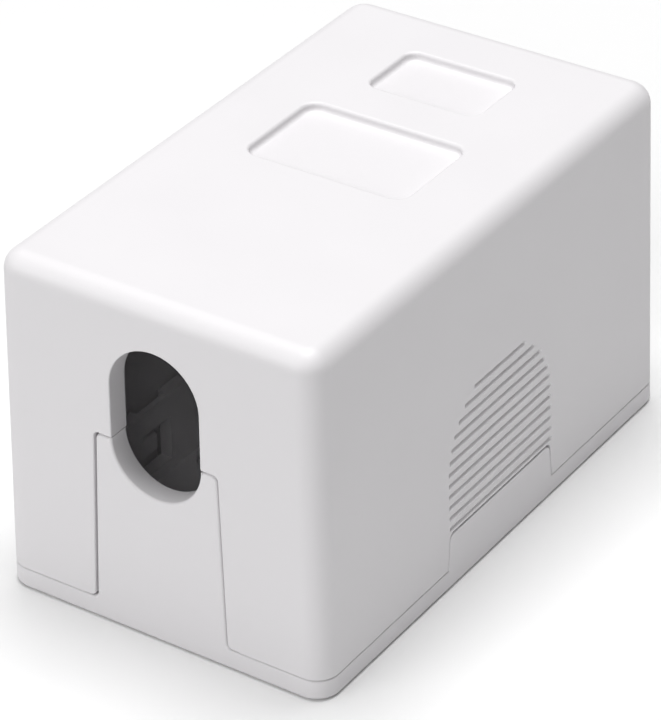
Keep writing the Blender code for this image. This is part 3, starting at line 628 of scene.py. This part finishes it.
# %% Small mouldings
BODY_OF = {node: body for body, nodes in frame["record"]["behaviour"]["bodies"].items() for node in nodes}
SLOT_OF = {row["node"]: row["material_slot"] for row in frame["record"]["subparts"]}
broken_edge = {"jack_housing": 0.15, "jack_latch": 0.15, "contact_carrier": 0.05, "circuit_board": 0.05,
               "idc_block": 0.1, "wire_cap_left": 0.15, "wire_cap_right": 0.15,
               "adhesive_pad_front": 0.1, "adhesive_pad_rear": 0.1}
broken_edge.update({f"idc_contact_{way}": 0.06 for way in range(1, 9)})
fine = {}
for node, width in broken_edge.items():
    fine[node] = softened(node, node + "_fine", width * MM)
    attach(fine[node], BODY_OF[node])
    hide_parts(node)
    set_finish(fine[node], SLOT_OF[node])
print("softened:", len(fine), "pieces")

# %% [markdown]
# ## Finishes
# The white ABS is nearly neutral and satin, and it carries the fine grain that spark erosion leaves in
# the mould. Plastics differ here in tint, gloss and grain; metals and board are plain finishes.

# %% Material helpers
def linear(code):
    """sRGB hex colour to the linear values that shaders read."""
    values = np.array([int(code[i:i + 2], 16) / 255 for i in (1, 3, 5)])
    values = np.where(values <= 0.04045, values / 12.92, ((values + 0.055) / 1.055) ** 2.4)
    return (*values.tolist(), 1.0)


def add_node(tree, kind, settings=None, links=None):
    """Adds a node, sets its properties or input sockets, and links inputs from other nodes' outputs."""
    node = tree.nodes.new(kind)
    for key, value in (settings or {}).items():
        if hasattr(node, key):
            setattr(node, key, value)
        else:
            node.inputs[key].default_value = value
    for key, source in (links or {}).items():
        tree.links.new(source, node.inputs[key])
    return node


def finish_on(name, colour, roughness, metallic=0.0, ior=1.5):
    """New material with its constant values set on the shader's own sockets."""
    made = bpy.data.materials.new(name)
    made.use_nodes = True
    shader = made.node_tree.nodes["Principled BSDF"]
    shader.inputs["Base Color"].default_value = linear(colour)
    shader.inputs["Roughness"].default_value = roughness
    shader.inputs["Metallic"].default_value = metallic
    shader.inputs["IOR"].default_value = ior
    return made, made.node_tree, shader


def moulded_plastic(name, colour, roughness, grain_mm, grain_depth, ior=1.53):
    """Injection-moulded plastic: erosion grain as bump, and gloss that drifts slightly over the part."""
    made, tree, shader = finish_on(name, colour, roughness, ior=ior)
    place = add_node(tree, "ShaderNodeTexCoord").outputs["Object"]
    grain_settings = {"Scale": 1.0 / (grain_mm * MM), "Detail": 3.0, "Roughness": 0.6}
    grain = add_node(tree, "ShaderNodeTexNoise", grain_settings, {"Vector": place})
    bump = add_node(tree, "ShaderNodeBump", {"Strength": 0.35, "Distance": grain_depth * MM},
                    {"Height": grain.outputs["Fac"]})
    drift_settings = {"Scale": 1.0 / (9.0 * MM), "Detail": 2.0}
    drift = add_node(tree, "ShaderNodeTexNoise", drift_settings, {"Vector": place})
    spread = {"From Min": 0.3, "From Max": 0.7, "To Min": roughness - 0.04, "To Max": roughness + 0.04}
    gloss = add_node(tree, "ShaderNodeMapRange", spread, {"Value": drift.outputs["Fac"]})
    tree.links.new(gloss.outputs["Result"], shader.inputs["Roughness"])
    tree.links.new(bump.outputs["Normal"], shader.inputs["Normal"])
    return made


# %% [markdown]
# Each finish is named for what the part is made of and how.

# %% Materials
# Injection-moulded ABS from a spark-eroded tool: satin, with a fine grain.
white_abs = moulded_plastic("moulded_white_abs", "#DFDDDF", 0.50, 0.35, 0.012)
# The jack's own ABS, moulded in a smoother tool and a slightly warmer white.
jack_abs = moulded_plastic("moulded_jack_abs", "#E9E8E4", 0.38, 0.3, 0.006)
# Polycarbonate wire caps from a polished tool: glossier, and shown opaque.
cap_pc = moulded_plastic("moulded_clear_grey_polycarbonate", "#D5D9DC", 0.25, 0.4, 0.004, 1.585)
# Black PBT, moulded: the comb that keeps the spring wires apart.
carrier_pbt = moulded_plastic("moulded_black_pbt", "#1B1B1C", 0.5, 0.3, 0.006)
# Drawn bronze wire, gold plated.
gold = finish_on("gold_plated_bronze_wire", "#D9A94E", 0.22, 1.0)[0]
# Stamped bronze strip, tin plated, duller than the wire.
tin = finish_on("tin_plated_bronze_blade", "#BDBEC0", 0.34, 1.0)[0]
# Glass laminate under green lacquer.
board = finish_on("lacquered_glass_laminate", "#12542B", 0.35)[0]
# Die-cut foam tape: matt, with a coarse surface.
foam = moulded_plastic("white_foam_tape", "#EDECE8", 0.9, 0.25, 0.05)
# Matt paint on the studio table.
floor_paint = finish_on("studio_floor", "#E9E9E9", 0.9)[0]

finish_for = {"cover_abs": white_abs, "base_abs": white_abs, "foam_tape": foam, "jack_abs": jack_abs,
              "carrier_pbt": carrier_pbt, "contact_gold": gold, "board_laminate": board,
              "terminal_pc": jack_abs, "blade_tin": tin, "cap_pc": cap_pc}
for piece in [cover, base, inner_frame, *fine.values()]:
    piece.data.materials.clear()
    piece.data.materials.append(finish_for[piece["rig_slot"]])
for way in range(1, 9):
    wire = frame["nodes"][f"contact_wire_{way}"]
    wire.material_slots[0].material = gold
print("materials:", sorted({m.name for m in finish_for.values()}))

# %% [markdown]
# ## Table
# A pale slab whose top lies just under the pads, so that the two faces aren't in one plane.

# %% Floor
TABLE_HALF = 1.5
TABLE_UNDER = -0.01
TABLE_TOP = -0.00002
floor = block("studio_floor", (-TABLE_HALF, -TABLE_HALF, TABLE_UNDER), (TABLE_HALF, TABLE_HALF, TABLE_TOP))
floor.data.materials.append(floor_paint)
floor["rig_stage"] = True
print("table top at", TABLE_TOP / MM, "mm")

# %% Finish
low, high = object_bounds()
print("visual box in mm:", [round(v / MM, 2) for v in (*low, *high)])
